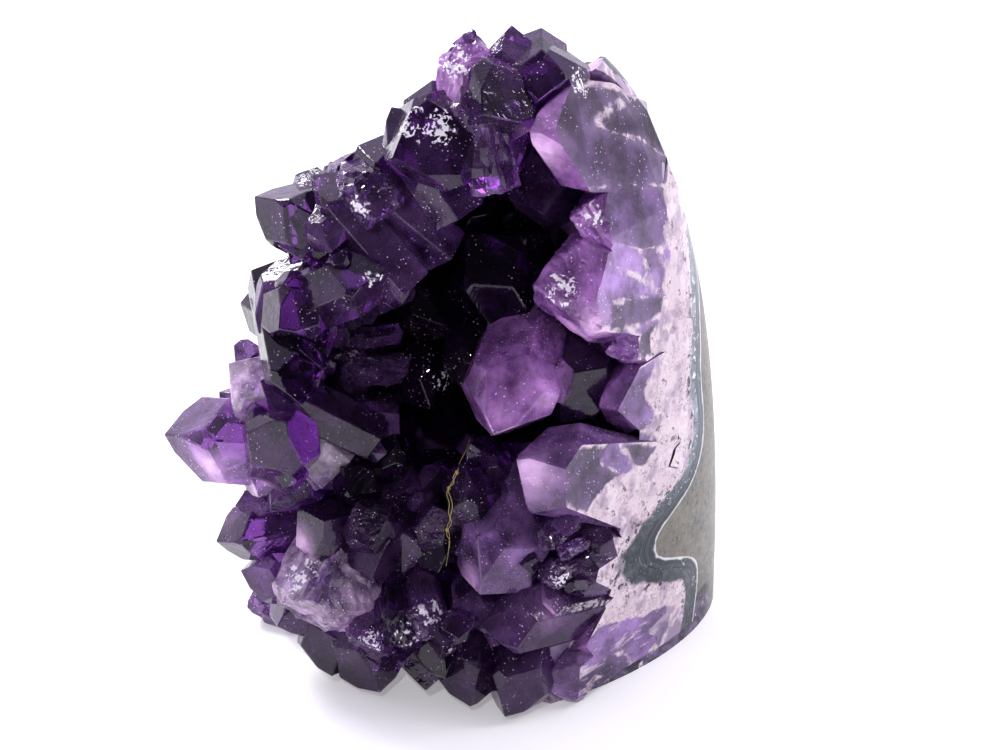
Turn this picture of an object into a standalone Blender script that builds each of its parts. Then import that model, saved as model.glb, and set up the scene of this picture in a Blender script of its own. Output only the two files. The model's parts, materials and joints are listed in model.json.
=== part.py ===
# A standing amethyst geode: a piece of a geode's wall, sawn flat below so that it stands upright.
# Three pieces grown onto each other: the host rock, the agate rind that lines it, and the crust of
# amethyst points on their quartz bed. The right flank is polished round, across all three.
# Sizes are in millimetres here, and MM turns them into metres as each mesh is made.
# X is to the right of the open side, Y runs away from the viewer and Z is up from the sawn base.

import math
import random

import bmesh
import bpy
from mathutils import Matrix, Vector, noise

MM = 0.001
GAP = 0.3  # kept between pieces that touch
MERGE = 0.02  # points closer than this become one
ROOM = 300.0  # a cube larger than the whole object

# The whole block
HEIGHT = 133.0
FLANK_REACH = 46.5  # from the middle of the base to the polished flank
FLANK_Y = 14.0  # where the flank stands out farthest
FLANK_WIDTH = 58.0
LEFT_REACH = 47.5
BACK_REACH = 38.0
FRONT_REACH = 34.0
FLANK_POWER = 1.6  # 2 would be an ellipse, and less is flatter between its ends
BACK_POWER = 2.2
TOP_Y = -5.0  # the block leans forward, to here at its top
DOME_POWER = 2.2  # how square the block's shoulder is, upright and across
SHOULDER_POWER = 2.38
SKIN_ROUGHNESS = 3.4
SKIN_GRAIN = 19.0
SKIN_FINENESS = 0.8  # of its fractal: how fast the lesser bumps fade, how much finer each, how many
SKIN_STEP = 2.2
SKIN_OCTAVES = 3
BACK_SKIN_STARTS = (0.20, 0.60)  # shares of the way round to the back and to the left, from none to full
LEFT_SKIN_STARTS = (0.3, 0.8)

# The polish runs on to the left over the crystals that stand out there, flat from where it leaves the
# block: it is laid against the block at these heights and turns. Zero is the flank's middle.
POLISH_HEIGHTS = (2.0, 30.0, 60.0, 85.0, 105.0, 120.0, 129.0)
POLISH_TURNS = (-34.0, -23.0, -12.0, 0.0)
TOP_POLISH_HEIGHT = 100.0  # above this the polish stops sooner
TOP_POLISH_TURN = -30.0

# The crest is broken off along a plane that falls to the back and to the left
CREST = Vector((10.0, -5.0, 123.0))
CREST_FALL = Vector((-0.4, 0.3, 1.0))

# The hollow, a bowl that opens to the front and to the left
BOWL_MIDDLE = Vector((-6.0, -4.0))
BOWL_HEADING = -20.0  # the way it opens, in degrees from straight ahead, the left being less than zero
BOWL_TURN_STARTS = (55.0, 110.0)  # the heights over which it turns to the right
BOWL_TOP_TURN = 26.0
BOWL_RIGHT_REACH = 56.5
BOWL_LEFT_REACH = 38.0
BOWL_DEPTH = 35.0
BOWL_WAIST = 45.0  # the height where it is widest
BOWL_SIDE_REACH = 150.0
BOWL_BACK_REACH = 82.0
BOWL_OPEN_REACH = 130.0
BOWL_SIDE_POWER = 3.0  # how long the bowl's side keeps its width before it closes in
BOWL_SIDE_LEAST = 0.2  # the least share of its reach, and of the back's, that either keeps
BOWL_BACK_LEAST = 0.05
BOWL_SIDES = 36
# The bowls are drawn level by level, past the block at both ends and closest where the tongue is
BOWL_LEVELS = (-14, 0, 9, 15, 19, 22, 25, 28, 32, 37, 44, 55, 68, 80, 92, 104, 115, 124, 147)
PLAIN_LEVELS = (-14, 9, 30, 50, 70, 90, 105, 120, 147)
FLOOR = 2.5  # rock left below the crystals
RIND = 2.7
BED_RIGHT = 19.0
BED_LEFT = 8.0
BED_BACK = 8.0
BED_FLOOR = 11.0
BED_OVERHANG = 4.0
BED_SIDES = 28

# The tongue of rock that the rind hooks around, low on the polished flank
TONGUE_REACH = 18.0
TONGUE_HEIGHT = 26.5
TONGUE_RISE = 11.0
TONGUE_DROP = 7.5
TONGUE_POWER = 2.6  # how blunt its tip is
TONGUE_WIDENING = 0.5  # how much farther the inner bowls keep from it, for each millimetre they lie inside
TONGUE_TURNS = (20.0, 46.0)  # how far round the bowl it starts and is full

# The front left edge of the rock floor, between two points of the plan
FLOOR_EDGE_RIGHT = Vector((14.0, -25.0))
FLOOR_EDGE_LEFT = Vector((-44.0, 4.0))

# Quartz: its end faces stand this far from square to the crystal's length
POINT_SLOPE = math.radians(51.8)
LARGE_FACE_LIFT = (-0.05, 0.03)  # how far three of the end faces stand out, as shares of the width
SMALL_FACE_LIFT = (0.04, 0.30)  # and the three lesser ones, which their height makes smaller
CRYSTAL_TAPER = 0.94
SEED = 7

# The crystals by place. Each is its tip (x, y, z), the way it points (heading from straight ahead,
# to the right positive, then how steeply up), its width across flats and its whole length.
CRYSTALS = {
    "crown": (
        ((-6, -11, 126), -120, 76, 10, 22),
        ((-5, -4, 133), 170, 75, 12, 26),
        ((2, -3, 133), 150, 80, 9, 24),
        ((7, -14, 122), 0, -15, 11, 16),
        ((9, -9, 130), -25, 60, 12, 26),
        ((-20, -8, 119), -110, 55, 11, 24),
        ((-14, -14, 121), -60, 40, 11, 22),
        ((18, -13, 117), -30, 20, 13, 26),
    ),
    "brow": (
        ((-3, -20, 121), -10, 5, 16, 30),
        ((-19, -22, 114), -35, 5, 18, 32),
        ((-9, -16, 107), 5, -35, 15, 18),
        ((5, -18, 118), -60, 15, 20, 36),
        ((-27, -11, 107), -60, 45, 11, 26),
    ),
    "right_wall": (
        ((8, -12, 99), -5, -10, 14, 28),
        ((13, -15, 100), -62, 12, 15, 26),
        ((6, -20, 88), -60, 12, 20, 34),
        ((19, -13, 92), -60, 40, 12, 24),
        ((20, -16, 82), -50, 10, 11, 24),
        ((-1, -28, 61), -15, -20, 18, 34),
        ((12, -17, 58), -20, -35, 15, 26),
        ((19, -18, 62), -58, 0, 14, 26),
        ((20, -15, 72), -50, -5, 9, 20),
        ((3, -28, 56), -62, 25, 17, 36),
        ((19, -20, 52), -60, 40, 10, 24),
        ((11, -19, 37), -62, 35, 14, 28),
        ((10, -24, 29), -58, 12, 11, 26),
        ((20, -18, 40), -55, 20, 12, 26),
    ),
    "hollow": (
        ((-11, 3, 92), 0, 0, 11, 24),
        ((-6, -6, 93), -60, 60, 15, 34),
        ((-9, -1, 70), 40, -15, 13, 26),
        ((1, -3, 74), 30, -10, 10, 26),
        ((-14, -4, 54), 10, -35, 10, 26),
        ((-7, -7, 60), -10, -35, 10, 28),
        ((-17, -6, 97), 50, 10, 8, 20),
        ((-18, -5, 87), 20, -25, 9, 24),
        ((-22, 0, 75), 15, -5, 14, 26),
        ((-28, -4, 66), 30, -5, 13, 26),
        ((-24, 0, 56), 20, 10, 13, 26),
        ((3, 0, 84), -15, 0, 13, 26),
        ((8, -6, 66), -30, 5, 12, 26),
        ((-3, 4, 52), 0, 20, 14, 24),
        ((6, -3, 50), -20, 25, 13, 26),
        ((-16, 4, 64), 0, 0, 12, 24),
        ((-2, 2, 102), 0, -20, 12, 24),
    ),
    "left_ridge": (
        ((-46, -9, 102), -90, 30, 13, 34),
        ((-35, -9, 106), -100, 50, 12, 28),
        ((-23, -20, 101), 10, -12, 12, 14),
        ((-31, -20, 95), 15, -18, 8, 20),
        ((-37, -17, 92), -10, -15, 10, 22),
        ((-21, -21, 92), 60, 30, 12, 28),
        ((-18, -14, 105), 30, -10, 10, 12),
        ((-25, -15, 91), 15, -20, 10, 22),
        ((-46, -15, 76), -45, -25, 14, 32),
        ((-41, -24, 81), -15, 0, 12, 30),
        ((-37, -27, 67), 15, -30, 11, 30),
        ((-46, -17, 67), -75, 35, 10, 26),
        ((-53, -9, 67), -100, 45, 14, 30),
        ((-40, -27, 63), 15, 45, 14, 30),
        ((-66, -13, 53), -80, 10, 17, 46),
        ((-30, -17, 56), 25, -15, 8, 24),
        ((-33, -19, 76), 30, 5, 12, 26),
        ((-45, -20, 40), -30, -20, 12, 28),
        ((-47, -20, 43), -5, -30, 8, 26),
        ((-53, -12, 37), -70, 0, 8, 24),
        ((-57, -14, 30), -75, -5, 11, 28),
        ((-52, -16, 24), -80, 10, 11, 26),
    ),
    "lower_front": (
        ((-6, -14, 52), -60, 55, 9, 26),
        ((-7, -18, 50), -50, 75, 11, 30),
        ((-13, -21, 42), 0, 65, 10, 26),
        ((-4, -30, 27), -25, -30, 16, 32),
        ((4, -25, 29), -10, -25, 12, 30),
        ((2, -21, 43), 5, 30, 10, 28),
        ((-21, -12, 53), 25, 80, 8, 26),
        ((-16, -16, 44), 40, 30, 13, 28),
        ((-30, -20, 50), -25, 50, 9, 26),
        ((-28, -24, 44), -45, 60, 10, 28),
        ((-34, -25, 41), 0, 45, 12, 28),
        ((-20, -23, 38), 0, 45, 13, 28),
        ((-25, -28, 30), -5, -15, 12, 28),
        ((-12, -25, 29), 0, -20, 12, 28),
        ((-36, -32, 27), -10, 14, 21, 36),
        ((-45, -21, 14), -35, -5, 14, 28),
    ),
    "foot": (
        ((-5, -31, 22), 50, 35, 7, 20),
        ((0, -29, 15), 20, -10, 12, 28),
        ((-4, -30, 20), -60, 5, 13, 28),
        ((14, -26, 12), -58, -8, 14, 26),
        ((17, -27, 4), -58, -5, 10, 24),
        ((8, -29, 6), -50, 0, 12, 28),
        ((1, -35, 2), -20, -35, 13, 30),
        ((-6, -33, 3), -5, -35, 14, 30),
        ((-11, -32, 9), 5, -25, 10, 28),
        ((-11, -33, 17), -5, 10, 7, 22),
        ((-18, -32, 16), 10, -15, 10, 26),
        ((-14, -32, 18), 10, -15, 9, 24),
        ((-24, -31, 16), 10, 5, 10, 28),
        ((-24, -28, 3), 20, -35, 14, 30),
        ((-34, -24, 4), 0, -35, 13, 30),
        ((-15, -29, 4), 5, -35, 12, 30),
    ),
}


def clear_scene():
    for old in list(bpy.data.objects):
        bpy.data.objects.remove(old, do_unlink=True)


def ease(value, start, end):
    share = min(1.0, max(0.0, (value - start) / (end - start)))
    return share * share * (3.0 - 2.0 * share)


def dome_share(height):
    """How much of the block's plan is left at a height."""
    up = min(1.0, max(0.0, height / HEIGHT))
    return (1.0 - up ** DOME_POWER) ** (1.0 / SHOULDER_POWER)


def block_point(turn, height):
    """A point of the block's side. turn is 0 at the flank and a quarter turn at the back."""
    right = math.cos(turn) > 0
    front = math.sin(turn) < 0
    middle_x = FLANK_REACH - FLANK_WIDTH
    across = FLANK_WIDTH if right else LEFT_REACH + middle_x
    along = FRONT_REACH + FLANK_Y if front else BACK_REACH - FLANK_Y
    power = FLANK_POWER if right and front else BACK_POWER
    reach = (abs(math.cos(turn)) ** power + abs(math.sin(turn)) ** power) ** (-1.0 / power)
    share = dome_share(height)
    x = share * (middle_x + across * reach * math.cos(turn))
    y = TOP_Y * (1.0 - share) + share * (FLANK_Y + along * reach * math.sin(turn))
    return Vector((x, y, height))


def skin_bump(point, turn):
    """The rough outside: none on the polished flank, full at the back and the left."""
    rough = max(ease(math.sin(turn), *BACK_SKIN_STARTS), ease(-math.cos(turn), *LEFT_SKIN_STARTS))
    return rough * SKIN_ROUGHNESS * noise.fractal(point / SKIN_GRAIN, SKIN_FINENESS, SKIN_STEP, SKIN_OCTAVES)


def new_object(name, mesh_maker):
    mesh = bmesh.new()
    mesh_maker(mesh)
    bmesh.ops.recalc_face_normals(mesh, faces=mesh.faces)
    bmesh.ops.scale(mesh, vec=Vector((MM, MM, MM)), verts=mesh.verts)
    data = bpy.data.meshes.new(name)
    mesh.to_mesh(data)
    mesh.free()
    thing = bpy.data.objects.new(name, data)
    bpy.context.collection.objects.link(thing)
    return thing


def cut_flat(mesh, point, normal):
    """Takes away what lies ahead of a plane and closes the cut."""
    bmesh.ops.bisect_plane(mesh, geom=mesh.verts[:] + mesh.edges[:] + mesh.faces[:], dist=MERGE,
                           plane_co=point, plane_no=normal, clear_outer=True)
    rim = [edge for edge in mesh.edges if edge.is_boundary]
    bmesh.ops.holes_fill(mesh, edges=rim, sides=len(rim))
    bmesh.ops.dissolve_degenerate(mesh, dist=MERGE, edges=mesh.edges)


def make_block(mesh, rough=True, sides=40, rings=24):
    """The outside of the block, from a ball that is cut flat and drawn to the dome's form."""
    bmesh.ops.create_uvsphere(mesh, u_segments=sides, v_segments=rings, radius=HEIGHT)
    cut_flat(mesh, Vector((0, 0, 0)), Vector((0, 0, -1)))
    for vert in mesh.verts:
        turn = math.atan2(vert.co.y, vert.co.x)
        height = min(HEIGHT, max(0.0, vert.co.z))
        point = block_point(turn, height)
        if rough:
            point += Vector((math.cos(turn), math.sin(turn), 0.0)) * skin_bump(point, turn)
        vert.co = point


def bowl_point(turn, height, thinner, tongue):
    """A point of a bowl's wall. turn is 0 at its back and a quarter turn at its right side."""
    off_waist = abs(height - BOWL_WAIST)
    side_fall = (off_waist / BOWL_SIDE_REACH) ** BOWL_SIDE_POWER
    side_share = max(BOWL_SIDE_LEAST, 1.0 - side_fall) ** (1.0 / BOWL_SIDE_POWER)
    back_share = math.sqrt(max(BOWL_BACK_LEAST, 1.0 - (off_waist / BOWL_BACK_REACH) ** 2))
    thinner_right, thinner_left, thinner_back = thinner
    if math.sin(turn) > 0:
        side = side_share * BOWL_RIGHT_REACH - thinner_right
    else:
        side = side_share * BOWL_LEFT_REACH - thinner_left
    if tongue:
        fall = (TONGUE_RISE if height > TONGUE_HEIGHT else TONGUE_DROP) + TONGUE_WIDENING * thinner[0]
        near = math.exp(-(abs(height - TONGUE_HEIGHT) / fall) ** TONGUE_POWER)
        side -= TONGUE_REACH * near * ease(math.degrees(turn), *TONGUE_TURNS)
    depth = BOWL_OPEN_REACH if math.cos(turn) < 0 else back_share * BOWL_DEPTH - thinner_back
    heading = math.radians(BOWL_HEADING + BOWL_TOP_TURN * ease(height, *BOWL_TURN_STARTS))
    opening = Vector((math.sin(heading), -math.cos(heading)))
    right = Vector((-opening.y, opening.x))
    plan = BOWL_MIDDLE - opening * depth * math.cos(turn) + right * side * math.sin(turn)
    return Vector((plan.x, plan.y, height))


def draw_up(mesh, ring, edges):
    """Extrudes a ring of edges and gives the new ring's points in the old one's order."""
    place = {vert: index for index, vert in enumerate(ring)}
    drawn = bmesh.ops.extrude_edge_only(mesh, edges=edges)["geom"]
    new_edges = [item for item in drawn if isinstance(item, bmesh.types.BMEdge)
                 and not any(vert in place for vert in item.verts)]
    new_ring = [None] * len(ring)
    for vert in (item for item in drawn if isinstance(item, bmesh.types.BMVert)):
        partner = next(edge.other_vert(vert) for edge in vert.link_edges if edge.other_vert(vert) in place)
        new_ring[place[partner]] = vert
    return new_ring, new_edges


def make_bowl(mesh, thinner=(0.0, 0.0, 0.0), floor=None, tongue=True, sides=BOWL_SIDES, levels=BOWL_LEVELS):
    """What fills a bowl: a ring drawn up level by level, closed at both ends, and cut at its floor."""
    ring = bmesh.ops.create_circle(mesh, cap_ends=True, segments=sides, radius=1.0)["verts"]
    turns = [math.atan2(vert.co.y, vert.co.x) for vert in ring]
    edges = mesh.edges[:]
    for height in levels:
        for vert, turn in zip(ring, turns):
            vert.co = bowl_point(turn, height, thinner, tongue)
        if height < levels[-1]:
            ring, edges = draw_up(mesh, ring, edges)
    bmesh.ops.contextual_create(mesh, geom=edges)
    # The same diagonals everywhere, so that nested walls stay the same distance apart
    bmesh.ops.triangulate(mesh, faces=mesh.faces, quad_method="FIXED", ngon_method="BEAUTY")
    if floor is not None:
        cut_flat(mesh, Vector((0.0, 0.0, floor)), Vector((0.0, 0.0, -1.0)))


def block_normal(turn, height, step=0.01):
    along = block_point(turn + step, height) - block_point(turn - step, height)
    upward = block_point(turn, height + step) - block_point(turn, height - step)
    return along.cross(upward).normalized()


def make_open_side(mesh):
    """The room to the left of the polish, where the crystals stand out as they grew."""
    bmesh.ops.create_cube(mesh, size=ROOM)
    bmesh.ops.translate(mesh, vec=Vector((0.0, 0.0, 0.5 * ROOM)), verts=mesh.verts)
    for height in POLISH_HEIGHTS:
        for turn in POLISH_TURNS:
            if height < TOP_POLISH_HEIGHT or turn > TOP_POLISH_TURN:
                way = math.radians(turn)
                cut_flat(mesh, block_point(way, height), block_normal(way, height))


def make_bed(mesh):
    """The quartz bed's own block, which stops a little ahead of the rock floor."""
    make_block(mesh)
    point, normal = floor_edge()
    cut_flat(mesh, point + normal * BED_OVERHANG, normal)
    cut_flat(mesh, CREST, CREST_FALL.normalized())


def make_shell(mesh):
    """The block less its broken crest and what is broken away in front, for the rock and the rind."""
    make_block(mesh)
    cut_flat(mesh, *floor_edge())
    cut_flat(mesh, CREST, CREST_FALL.normalized())


def make_behind_edge(mesh):
    """All that lies behind the front left edge, where the crust keeps clear of the rock and rind."""
    bmesh.ops.create_cube(mesh, size=ROOM)
    point, normal = floor_edge()
    cut_flat(mesh, point + normal * GAP, normal)


def floor_edge():
    along = FLOOR_EDGE_LEFT - FLOOR_EDGE_RIGHT
    normal = Vector((along.y, -along.x, 0.0)).normalized()
    if normal.y > 0:
        normal.negate()
    return Vector((FLOOR_EDGE_RIGHT.x, FLOOR_EDGE_RIGHT.y, 0.0)), normal


def pointing(heading, pitch):
    heading = math.radians(heading)
    pitch = math.radians(pitch)
    level = math.cos(pitch)
    return Vector((math.sin(heading) * level, -math.cos(heading) * level, math.sin(pitch)))


def make_crystal(mesh, tip, heading, pitch, width, length, dice):
    """A six-sided quartz point: a prism cut by six sloping faces, three of them larger."""
    crystal = bmesh.new()
    corner = 0.5 * width / math.cos(math.pi / 6.0)
    root = bmesh.ops.create_cone(crystal, cap_ends=True, segments=6, radius1=corner * CRYSTAL_TAPER,
                                 radius2=corner, depth=length)["verts"]
    bmesh.ops.translate(crystal, vec=Vector((0.0, 0.0, -0.5 * length)), verts=root)
    for face in range(6):
        turn = (face + 0.5) * math.pi / 3.0
        lift = width * dice.uniform(*(SMALL_FACE_LIFT if face % 2 else LARGE_FACE_LIFT))
        lean = math.sin(POINT_SLOPE)
        normal = Vector((math.cos(turn) * lean, math.sin(turn) * lean, math.cos(POINT_SLOPE)))
        cut_flat(crystal, Vector((0.0, 0.0, lift)), normal)
    highest = max(vert.co.z for vert in crystal.verts)
    turn = Matrix.Rotation(dice.uniform(0.0, math.tau), 4, "Z")
    stand = pointing(heading, pitch).to_track_quat("Z", "Y").to_matrix().to_4x4()
    place = Matrix.Translation(Vector(tip)) @ stand @ turn @ Matrix.Translation(Vector((0, 0, -highest)))
    bmesh.ops.transform(crystal, matrix=place, verts=crystal.verts)
    bmesh.ops.recalc_face_normals(crystal, faces=crystal.faces)
    lump = bpy.data.meshes.new("crystal")
    crystal.to_mesh(lump)
    crystal.free()
    mesh.from_mesh(lump)
    bpy.data.meshes.remove(lump)


def make_crystals(mesh):
    dice = random.Random(SEED)
    for place in CRYSTALS.values():
        for tip, heading, pitch, width, length in place:
            make_crystal(mesh, tip, heading, pitch, width, length, dice)


def as_cutter(thing):
    thing.hide_render = True
    thing.display_type = "WIRE"
    thing.hide_set(True)
    return thing


def combine(thing, operation, other, itself=False):
    step = thing.modifiers.new(operation.title(), "BOOLEAN")
    step.operation = operation
    step.object = other
    step.solver = "EXACT"
    step.use_self = itself


def islands(mesh):
    """The separate bodies of a mesh, each as a list of its faces."""
    unseen = set(mesh.faces)
    while unseen:
        body = [unseen.pop()]
        for face in body:
            for edge in face.edges:
                for other in edge.link_faces:
                    if other in unseen:
                        unseen.discard(other)
                        body.append(other)
        yield body


def keep_main_body(thing):
    """Settles the cuts, and fills the pockets that the crystals close off between them."""
    view = bpy.context.evaluated_depsgraph_get()
    mesh = bmesh.new()
    mesh.from_mesh(thing.evaluated_get(view).to_mesh())
    thing.modifiers.clear()
    bodies = sorted(islands(mesh), key=len)
    pockets = [face for body in bodies[:-1] for face in body]
    bmesh.ops.delete(mesh, geom=pockets, context="FACES")
    mesh.to_mesh(thing.data)
    mesh.free()


def finish(thing, colour, roughness):
    look = bpy.data.materials.new(thing.name)
    look.use_nodes = True
    shader = look.node_tree.nodes["Principled BSDF"]
    shader.inputs["Base Color"].default_value = (*colour, 1.0)
    shader.inputs["Roughness"].default_value = roughness
    shader.inputs["Metallic"].default_value = 0.0
    thing.data.materials.append(look)


def make_host_rock():
    rock = new_object("host_rock", make_shell)
    hollow = as_cutter(new_object("rock_hollow", lambda mesh: make_bowl(mesh, floor=FLOOR)))
    combine(rock, "DIFFERENCE", hollow)
    finish(rock, (0.16, 0.145, 0.13), 0.85)


def make_agate_rind():
    rind = new_object("agate_rind", lambda mesh: make_bowl(mesh, (GAP,) * 3, FLOOR + GAP))
    block = as_cutter(new_object("rind_block", make_shell))
    hollow = as_cutter(new_object("rind_hollow", lambda mesh: make_bowl(mesh, (RIND,) * 3)))
    combine(rind, "INTERSECT", block)
    combine(rind, "DIFFERENCE", hollow)
    finish(rind, (0.27, 0.31, 0.36), 0.25)


def make_amethyst_crust():
    crust = new_object("amethyst_crust", make_bed)
    bowl = as_cutter(new_object("crust_bowl", lambda mesh: make_bowl(
        mesh, (RIND + GAP,) * 3, FLOOR + GAP)))
    wall = as_cutter(new_object("crust_wall", make_behind_edge))
    combine(wall, "DIFFERENCE", bowl)
    hollow = as_cutter(new_object("crust_hollow", lambda mesh: make_bowl(
        mesh, (RIND + BED_RIGHT, RIND + BED_LEFT, RIND + BED_BACK), FLOOR + BED_FLOOR,
        tongue=False, sides=BED_SIDES, levels=PLAIN_LEVELS)))
    points = as_cutter(new_object("crystal_points", make_crystals))
    room = as_cutter(new_object("crystal_room", lambda mesh: make_block(mesh, rough=False)))
    open_side = as_cutter(new_object("open_side", make_open_side))
    combine(room, "UNION", open_side)
    combine(crust, "DIFFERENCE", hollow)
    combine(crust, "UNION", points, itself=True)
    combine(crust, "INTERSECT", room)
    combine(crust, "DIFFERENCE", wall)
    keep_main_body(crust)
    finish(crust, (0.22, 0.10, 0.36), 0.1)


clear_scene()
make_host_rock()
make_agate_rind()
make_amethyst_crust()
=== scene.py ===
# The looks of a standing amethyst geode: finer pieces in the places of the three solids, the dry
# fibre caught on the points, the materials, the light and the camera.
# Sizes are in millimetres until a mesh is finished, and mm turns them into metres.

import json
import math
import random

import bmesh
import bpy
from mathutils import Matrix, Vector, noise
from mathutils.bvhtree import BVHTree

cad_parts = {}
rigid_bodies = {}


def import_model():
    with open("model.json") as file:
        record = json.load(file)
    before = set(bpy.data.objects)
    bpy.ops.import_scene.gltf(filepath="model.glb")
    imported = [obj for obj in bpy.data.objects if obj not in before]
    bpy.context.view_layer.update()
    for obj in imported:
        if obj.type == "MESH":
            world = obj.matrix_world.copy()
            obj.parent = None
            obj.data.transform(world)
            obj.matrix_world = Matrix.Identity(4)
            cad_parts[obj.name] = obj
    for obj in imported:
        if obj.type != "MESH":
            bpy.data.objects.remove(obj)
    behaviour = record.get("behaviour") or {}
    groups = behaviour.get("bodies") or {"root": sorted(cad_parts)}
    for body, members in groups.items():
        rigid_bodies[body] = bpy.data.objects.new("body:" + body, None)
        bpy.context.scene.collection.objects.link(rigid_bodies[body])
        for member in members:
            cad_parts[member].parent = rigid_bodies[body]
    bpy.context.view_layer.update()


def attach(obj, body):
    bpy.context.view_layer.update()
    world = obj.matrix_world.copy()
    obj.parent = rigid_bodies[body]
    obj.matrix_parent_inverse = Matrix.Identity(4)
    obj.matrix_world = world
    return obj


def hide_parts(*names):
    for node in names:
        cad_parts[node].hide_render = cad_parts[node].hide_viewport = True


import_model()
scene = bpy.context.scene
mm = 0.001

block = {
    "height": 133.0, "flankReach": 46.5, "flankY": 14.0, "flankWidth": 58.0, "leftReach": 47.5,
    "backReach": 38.0, "frontReach": 34.0, "flankPower": 1.6, "backPower": 2.2, "topY": -5.0,
    "domePower": 2.2, "shoulderPower": 2.38,
    "roughness": 3.4, "grain": 19.0, "backStarts": (0.20, 0.60), "leftStarts": (0.3, 0.8),
    "sides": 260, "rings": 170,
    "pitDepth": 1.5, "pitSize": 4.2, "pitReach": 0.45, "gritDepth": 0.55, "gritSize": 2.0, "sunk": 0.45,
    "crest": Vector((10.0, -5.0, 123.0)), "crestFall": Vector((-0.4, 0.3, 1.0)), "crestRough": 1.6,
    "floor": 2.5, "floorEdge": (Vector((14.0, -25.0)), Vector((-44.0, 4.0))),
    "polishHeights": (2.0, 30.0, 60.0, 85.0, 105.0, 120.0, 129.0),
    "polishTurns": (-34.0, -23.0, -12.0, 0.0), "topPolish": (40.0, -30.0),
}
hollow = {
    "middle": Vector((-6.0, -4.0)), "heading": -20.0, "turnStarts": (55.0, 110.0), "topTurn": 26.0,
    "rightReach": 56.5, "leftReach": 38.0, "depth": 35.0, "waist": 45.0, "sideReach": 150.0,
    "backReach": 82.0,
    "openReach": 130.0, "sidePower": 3.0, "sideLeast": 0.2, "backLeast": 0.05,
    "rind": 2.7, "bedRight": 19.0, "bedLeft": 8.0, "bedBack": 8.0, "bedFloor": 11.0, "bedOverhang": 4.0,
    "wallAhead": 0.3,
    "tongueReach": 18.0, "tongueHeight": 26.5, "tongueRise": 11.0, "tongueDrop": 7.5,
    "tonguePower": 2.6, "tongueWidening": 0.5,
    "tongueTurns": (20.0, 46.0),
    "sides": 200, "step": 1.25, "low": -14.0, "high": 147.0, "wave": 0.7, "waveSize": 9.0, "seam": 0.02,
}
points = {
    "slope": math.radians(51.8), "largeLift": (-0.05, 0.03), "smallLift": (0.04, 0.30), "taper": 0.94,
    "seed": 7, "edge": 0.016, "seat": 0.06,
    # Body colour, and how milky: 0 is clear
    "tones": {
        # The darkest tone is painted shade: near black, for the points that lie in shade, chiefly deep in the
        # hollow
        "night": ((0.09, 0.035, 0.13), 0.08),
        "deep": ((0.26, 0.12, 0.36), 0.15),
        "mid": ((0.40, 0.21, 0.54), 0.22),
        "violet": ((0.52, 0.30, 0.68), 0.34),
        "lilac": ((0.74, 0.36, 0.90), 0.42),
        "pale": ((0.95, 0.80, 0.96), 0.48),
        "frosted": ((0.90, 0.66, 0.97), 0.44),
    },
    # The colour where the polish runs through a point
    "cutTones": {
        # The darkest follows the painted-shade tone above
        "night": (0.035, 0.022, 0.055),
        "deep": (0.13, 0.055, 0.23),
        "mid": (0.20, 0.115, 0.31),
        "violet": (0.35, 0.205, 0.50),
        "lilac": (0.38, 0.23, 0.52),
        "pale": (0.43, 0.29, 0.55),
        "frosted": (0.40, 0.26, 0.52),
    },
    "cutMilk": 0.85, "cutStep": 1.3, "cutVary": (0.7, 0.6),
    # The cuts get darker by a share near the top
    "dusk": 0.55, "duskHeights": (116.0, 121.0),
    # How broken faces are: the size of their scales, how far they tilt and how far they step
    "breaks": {
        "scaly": (2.2, 0.30, 0.28),
        "crackle": (1.3, 0.34, 0.22),
        "glitter": (1.0, 0.40, 0.14),
    },
}

# The lesser points: how many, how wide, and where
lesser = {
    "seed": 23,
    "lining": 190, "liningWidth": (4.0, 8.5), "liningHeights": (17.0, 122.0), "liningTurns": (-88.0, 84.0),
    "liningOut": (1.0, 6.0), "liningLeftTop": 84.0, "liningLeft": -8.0,
    "liningRightTop": 98.0, "liningRight": 4.0, "liningAim": (6.0, 22.0, 60.0), "liningJitter": 0.55,
    # The share of lining points given the darkest tone, painted shade
    "paintedShadeShare": 0.8,
    "daughters": 2, "daughterShare": (0.26, 0.44), "daughterPlace": (0.25, 0.7), "motherLeast": 10.0,
    "daughterTop": 98.0, "daughterOut": (0.25, 0.7), "scalyShare": 0.02,
    "fringe": 90, "fringeWidth": (3.0, 6.5), "fringeHeights": (2.0, 104.0), "footTop": 40.0,
    "fringeAhead": (4.0, 9.0), "fringeLean": (60.0, 110.0), "glitterShare": 0.15,
    "leftFringe": 70, "leftFringeWidth": (3.5, 8.0), "leftFringePlace": (0.8, 1.16),
    "leftFringeAhead": (3.5, 6.5), "leftFringeHeights": (3.0, 66.0),
}

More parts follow.
